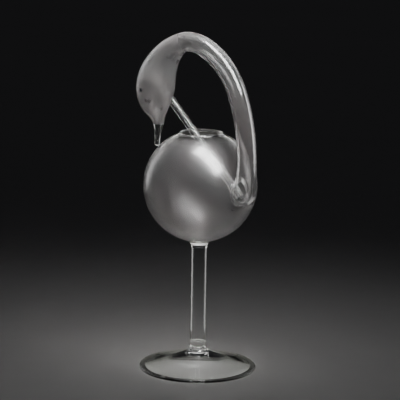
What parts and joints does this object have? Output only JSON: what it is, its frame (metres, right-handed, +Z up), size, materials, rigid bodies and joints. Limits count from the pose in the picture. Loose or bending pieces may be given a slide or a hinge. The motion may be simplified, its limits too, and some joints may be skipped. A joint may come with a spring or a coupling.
{
  "type": "wine decanter",
  "caption": "Glass swan decanter: round bowl on a hollow stem and wide foot, a swan's neck arching over the open mouth, and a loose straight glass straw.",
  "frame": {"origin": "centre of the foot's contact ring, on the surface that the decanter stands on", "axes": "+Z up along the stem; +X towards the side of the bowl that the swan's neck grows from; the head hangs on the -X side"},
  "size_m": [0.144, 0.1036, 0.2992],
  "materials": {
    "clear_glass": "clear and polished",
    "satin_glass": "satin, slightly hazy",
    "rim_glass": "clear, fire-polished, faint yellow-green tint",
    "straw_glass": "clear and polished",
    "black_glass": "glossy, opaque black"
  },
  "bodies": {
    "decanter": {"foot": "clear_glass", "foot_collar": "clear_glass", "stem": "clear_glass", "bowl_collar": "clear_glass", "bowl": "satin_glass", "mouth_rim": "rim_glass", "neck_root": "satin_glass", "swan_neck": "satin_glass", "swan_head": "satin_glass", "beak": "clear_glass", "left_eye": "black_glass", "right_eye": "black_glass"},
    "straw": {"straw": "straw_glass"}
  },
  "joints": [
    {"name": "straw_slide", "type": "slide", "parent": "decanter", "child": "straw", "axis": [-0.7706, 0.1719, 0.6137], "range_m": [0, 0.19]}
  ]
}
